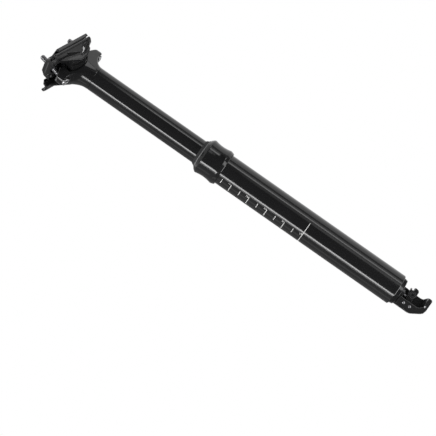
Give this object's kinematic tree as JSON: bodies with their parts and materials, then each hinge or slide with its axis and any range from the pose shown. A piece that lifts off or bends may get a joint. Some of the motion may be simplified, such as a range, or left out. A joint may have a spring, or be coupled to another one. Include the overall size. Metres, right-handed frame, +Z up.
{
  "type": "dropper seatpost",
  "caption": "Telescoping bicycle seatpost with a waisted collar, a tilting saddle rail clamp on a forged head, and a hook with a cable-pulled release lever at its foot.",
  "frame": {"origin": "on the post axis at the lower face of the collar, where the frame's seat tube ends", "axes": "+Z up the post to the saddle, +X forward, +Y to the rider's left"},
  "size_m": [0.0568, 0.0548, 0.4324],
  "materials": {
    "gloss_black": "gloss black anodised",
    "forged_black": "satin black anodised forging",
    "base_black": "satin black anodised",
    "rubber": "matte black",
    "felt": "oiled felt",
    "bushing": "plain",
    "steel": "plain steel",
    "chromed_rod": "ground and chromed",
    "brass": "plain",
    "bare_aluminium": "bare"
  },
  "bodies": {
    "lower_tube": {"outer_tube": "gloss_black", "collar": "gloss_black", "wiper_seal": "rubber", "foam_ring": "felt", "upper_bushing": "bushing", "base_cap": "base_black", "base_o_ring": "rubber", "bottom_bumper": "rubber", "cartridge_rod": "chromed_rod", "piston": "bare_aluminium", "rod_nut": "steel", "hook_bracket": "base_black", "bracket_rivets": "steel", "bracket_set_screw": "steel", "pivot_bolt": "steel"},
    "upper_post": {"stanchion": "gloss_black", "post_head": "forged_black", "guide_keys": "brass", "lower_bushing": "bushing", "cartridge_body": "bare_aluminium", "cartridge_gland": "bare_aluminium", "topout_bumper": "rubber", "cartridge_nut": "bare_aluminium"},
    "valve": {"valve_pin": "steel"},
    "lever": {"release_lever": "base_black"},
    "saddle_clamp": {"lower_cradle": "forged_black", "top_clamp": "forged_black"},
    "rear_bolt_set": {"rear_bolt": "steel", "rear_washer": "steel"},
    "front_bolt_set": {"front_bolt": "steel", "front_washer": "steel"},
    "rear_nut": {"rear_barrel_nut": "steel"},
    "front_nut": {"front_barrel_nut": "steel"}
  },
  "joints": [
    {"name": "post_drop", "type": "slide", "parent": "lower_tube", "child": "upper_post", "axis": [0, 0, 1], "range_m": [-0.115, 0]},
    {"name": "lever_turn", "type": "hinge", "parent": "lower_tube", "child": "lever", "pos_m": [0.00367, -0.00277, -0.213], "axis": [0.6018, 0.7986, 0], "range_deg": [0, 26], "stiffness_Nm_per_rad": 0.004, "springref_deg": -11.46},
    {"name": "valve_push", "type": "slide", "parent": "lower_tube", "child": "valve", "axis": [0, 0, 1], "range_m": [0, 0.002]},
    {"name": "saddle_tilt", "type": "hinge", "parent": "upper_post", "child": "saddle_clamp", "pos_m": [-0.0017, 0, 0.182], "axis": [0, 1, 0], "range_deg": [-6, 6]},
    {"name": "rear_bolt_swing", "type": "hinge", "parent": "upper_post", "child": "rear_bolt_set", "pos_m": [-0.02382, 0, 0.1639], "axis": [0, 1, 0], "range_deg": [-1, 1]},
    {"name": "front_bolt_swing", "type": "hinge", "parent": "upper_post", "child": "front_bolt_set", "pos_m": [0.02276, 0, 0.15462], "axis": [0, 1, 0], "range_deg": [-2.1, 2.1]},
    {"name": "rear_nut_turn", "type": "hinge", "parent": "saddle_clamp", "child": "rear_nut", "pos_m": [-0.01768, 0, 0.1869], "axis": [0, 1, 0], "range_deg": [-6, 6]},
    {"name": "front_nut_turn", "type": "hinge", "parent": "saddle_clamp", "child": "front_nut", "pos_m": [0.02116, 0, 0.1765], "axis": [0, 1, 0], "range_deg": [-8.2, 8.2]}
  ],
  "couplings": [
    {"joint": "lever_turn", "follows": "valve_push", "rad_per_m": 217.39},
    {"joint": "rear_bolt_swing", "follows": "saddle_tilt", "ratio": 0.023},
    {"joint": "front_bolt_swing", "follows": "saddle_tilt", "ratio": -0.3345},
    {"joint": "rear_nut_turn", "follows": "saddle_tilt", "ratio": -0.977},
    {"joint": "front_nut_turn", "follows": "saddle_tilt", "ratio": -1.3345}
  ]
}
